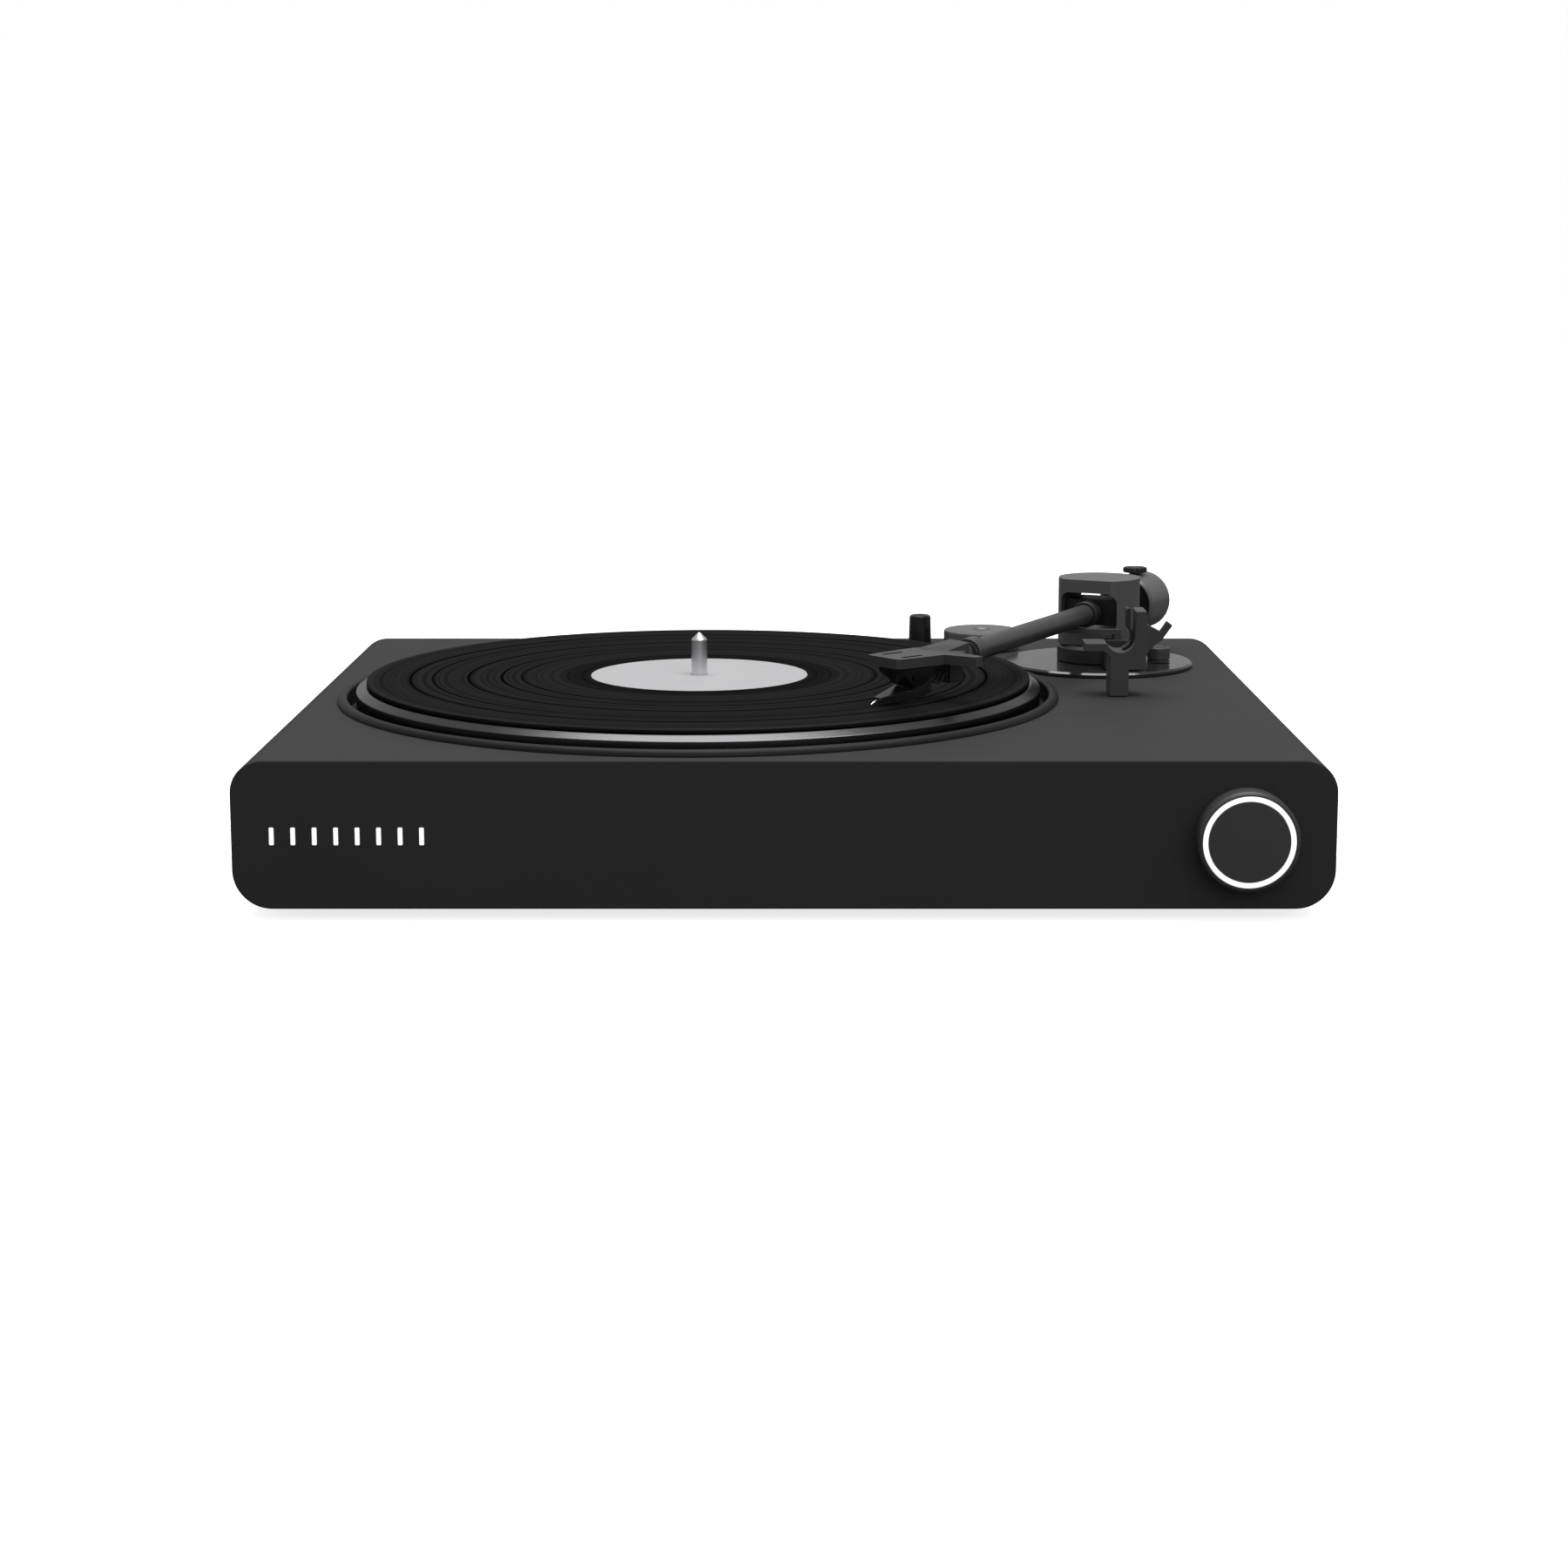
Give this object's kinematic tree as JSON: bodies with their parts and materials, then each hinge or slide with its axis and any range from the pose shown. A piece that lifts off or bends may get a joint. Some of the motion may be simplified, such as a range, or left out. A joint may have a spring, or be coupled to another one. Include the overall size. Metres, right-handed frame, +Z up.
{
  "type": "turntable record player",
  "caption": "Belt-driven turntable on a low rounded plinth, with a black record on its platter, a straight tonearm with an angled headshell, and one lit knob on the front.",
  "frame": {"origin": "centre of the overall bounding box in plan, at the bottom of the feet", "axes": "+X to the right seen from the front, +Y to the back, +Z up"},
  "size_m": [0.445, 0.372, 0.1093],
  "materials": {
    "plinth_satin": "satin black lacquer with a faint eggshell grain",
    "cover_black": "matt moulded black",
    "foot_rubber": "matt moulded rubber",
    "ring_black": "satin black moulding, smooth",
    "platter_metal": "turned and satin black anodised",
    "mat_rubber": "matt rubber with fine rings",
    "vinyl": "pressed vinyl with fine spiral grooves",
    "label_paper": "plain light grey paper, no printing",
    "spindle_steel": "polished steel",
    "hub_plastic": "moulded",
    "brass": "turned brass",
    "motor_steel": "plated steel can",
    "belt_rubber": "ground flat rubber belt",
    "board_green": "solder-masked circuit board",
    "knob_black": "satin black anodised, turned face",
    "ring_light": "milky white light guide, lit",
    "plate_gloss": "gloss black, polished bevel",
    "arm_black": "satin black anodised aluminium",
    "arm_dark": "matt black",
    "cartridge_black": "semi-gloss moulded black",
    "screw_steel": "blackened steel",
    "lead_wire": "thin insulated wire with cream crimped ends",
    "socket_gold": "gilt brass"
  },
  "bodies": {
    "root": {"plinth": "plinth_satin", "bottom_cover": "cover_black", "foot_front_left": "foot_rubber", "foot_front_right": "foot_rubber", "foot_back_left": "foot_rubber", "foot_back_right": "foot_rubber", "well_ring": "ring_black", "bearing_housing": "motor_steel", "bearing_bush": "brass", "motor_mount": "motor_steel", "motor_body": "motor_steel", "drive_belt": "belt_rubber", "knob_encoder": "hub_plastic", "arm_base_plate": "plate_gloss", "arm_pedestal": "arm_dark", "arm_rest": "arm_black", "lift_tower": "arm_dark", "adapter_peg": "arm_black", "rear_panel": "cover_black", "line_out_left": "socket_gold", "line_out_right": "socket_gold", "dc_inlet": "arm_dark", "ground_terminal": "socket_gold", "main_board": "board_green"},
    "platter": {"platter": "platter_metal", "slipmat": "mat_rubber", "record": "vinyl", "record_label": "label_paper", "spindle": "spindle_steel", "drive_hub": "hub_plastic"},
    "motor_pulley": {"motor_pulley": "brass"},
    "arm_housing": {"yoke": "arm_black", "pivot_pin_left": "screw_steel", "pivot_pin_right": "screw_steel", "swing_shaft": "motor_steel"},
    "tonearm": {"bearing_block": "arm_dark", "arm_tube": "arm_black", "arm_collar": "arm_black", "rear_stub": "screw_steel", "headshell": "arm_black", "cartridge_screw_left": "screw_steel", "cartridge_screw_right": "screw_steel", "terminal_block": "arm_dark", "cartridge": "cartridge_black", "stylus_holder": "cartridge_black", "cantilever": "screw_steel", "cartridge_leads": "lead_wire"},
    "headshell_lock": {"headshell_collar": "arm_black"},
    "counterweight": {"counterweight": "arm_black"},
    "weight_screw": {"counterweight_thumbscrew": "arm_dark"},
    "lift_platform": {"lift_platform": "arm_dark"},
    "cue_lever": {"cue_lever": "arm_black"},
    "rest_clip": {"rest_clip": "arm_dark"},
    "anti_skate_dial": {"anti_skate_dial": "arm_black"},
    "speed_selector": {"speed_selector": "arm_dark"},
    "knob_core": {"knob_shaft": "motor_steel"},
    "knob": {"knob_body": "knob_black", "knob_light_ring": "ring_light"},
    "adapter_45": {"adapter_45": "arm_black"},
    "preamp_switch": {"preamp_switch": "arm_dark"}
  },
  "joints": [
    {"name": "platter_spin", "type": "hinge", "parent": "root", "child": "platter", "pos_m": [-0.0398, -0.0035, 0.066], "axis": [0, 0, 1], "continuous": true},
    {"name": "motor_pulley_spin", "type": "hinge", "parent": "root", "child": "motor_pulley", "pos_m": [-0.1058, 0.0785, 0.06], "axis": [0, 0, 1], "continuous": true},
    {"name": "arm_swing", "type": "hinge", "parent": "root", "child": "arm_housing", "pos_m": [0.1519, 0.0868, 0.093], "axis": [0, 0, 1], "range_deg": [-18, 26.5]},
    {"name": "arm_tilt", "type": "hinge", "parent": "arm_housing", "child": "tonearm", "pos_m": [0.1519, 0.0868, 0.093], "axis": [-0.8949, 0.4462, 0], "range_deg": [0, 8]},
    {"name": "counterweight_slide", "type": "slide", "parent": "tonearm", "child": "counterweight", "axis": [0.4462, 0.8949, 0], "range_m": [-0.006, 0.006]},
    {"name": "thumbscrew_turn", "type": "hinge", "parent": "counterweight", "child": "weight_screw", "pos_m": [0.17443, 0.13199, 0.093], "axis": [0, 0, 1], "range_deg": [0, 180]},
    {"name": "headshell_lock_turn", "type": "hinge", "parent": "tonearm", "child": "headshell_lock", "pos_m": [0.0814, -0.0546, 0.093], "axis": [0.4462, 0.8949, 0], "range_deg": [0, 90]},
    {"name": "lift_rise", "type": "slide", "parent": "root", "child": "lift_platform", "axis": [0, 0, 1], "range_m": [0, 0.004]},
    {"name": "cue_lever_turn", "type": "hinge", "parent": "root", "child": "cue_lever", "pos_m": [0.16453, 0.05184, 0.076], "axis": [0, -1, 0], "range_deg": [0, 41]},
    {"name": "rest_clip_turn", "type": "hinge", "parent": "root", "child": "rest_clip", "pos_m": [0.1519, -0.0044, 0.093], "axis": [0, -1, 0], "range_deg": [0, 95]},
    {"name": "anti_skate_turn", "type": "hinge", "parent": "root", "child": "anti_skate_dial", "pos_m": [0.1805, 0.079, 0.071], "axis": [0, 0, 1], "range_deg": [0, 270]},
    {"name": "speed_select_turn", "type": "hinge", "parent": "root", "child": "speed_selector", "pos_m": [0.0675, 0.154, 0.074], "axis": [0, 0, 1], "range_deg": [-30, 30]},
    {"name": "knob_turn", "type": "hinge", "parent": "root", "child": "knob_core", "pos_m": [0.1855, -0.174, 0.035], "axis": [0, 1, 0], "continuous": true},
    {"name": "knob_press", "type": "slide", "parent": "knob_core", "child": "knob", "axis": [0, 1, 0], "range_m": [0, 0.0012], "stiffness_N_per_m": 1200, "springref_m": -0.001},
    {"name": "adapter_lift_off", "type": "slide", "parent": "root", "child": "adapter_45", "axis": [0, 0, 1], "range_m": [0, 0.03]},
    {"name": "preamp_switch_slide", "type": "slide", "parent": "root", "child": "preamp_switch", "axis": [1, 0, 0], "range_m": [-0.002, 0.002]}
  ],
  "couplings": [
    {"joint": "motor_pulley_spin", "follows": "platter_spin", "ratio": 10.286},
    {"joint": "lift_rise", "follows": "arm_tilt", "m_per_rad": 0.028},
    {"joint": "cue_lever_turn", "follows": "arm_tilt", "ratio": 5}
  ]
}
